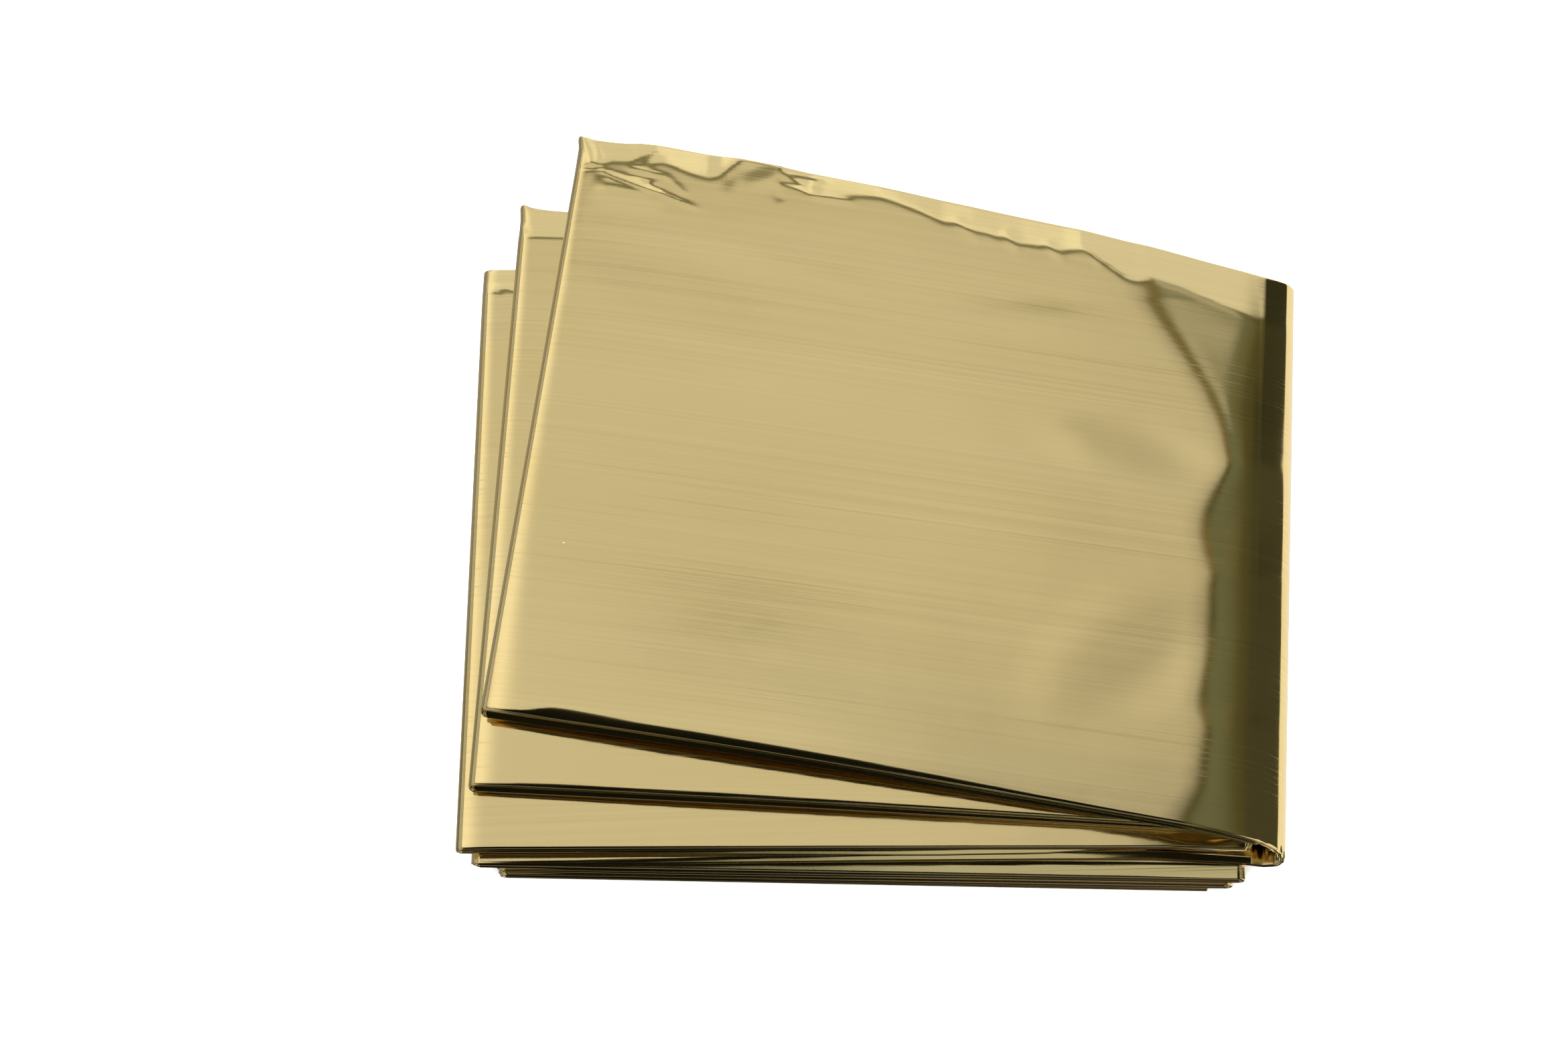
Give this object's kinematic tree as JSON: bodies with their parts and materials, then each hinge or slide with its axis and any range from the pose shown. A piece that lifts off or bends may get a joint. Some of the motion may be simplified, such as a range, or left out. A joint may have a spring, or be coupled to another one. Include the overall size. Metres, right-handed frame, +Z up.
{
  "type": "emergency foil blanket",
  "caption": "Emergency foil blanket of thin gold metallised film, folded flat into a pocket-size pack with its panels slightly fanned.",
  "frame": {"origin": "under the middle of the pack's box, on the surface it lies on", "axes": "+Z up, +X to the right along the folded panels towards the long loop, +Y away from the front edge"},
  "size_m": [0.1438, 0.1314, 0.0216],
  "materials": {
    "gold_film": "glossy gold-tinted metallised polyester film with fine streaks and soft creases"
  },
  "bodies": {
    "root": {"foil_blanket": "gold_film"}
  },
  "joints": []
}
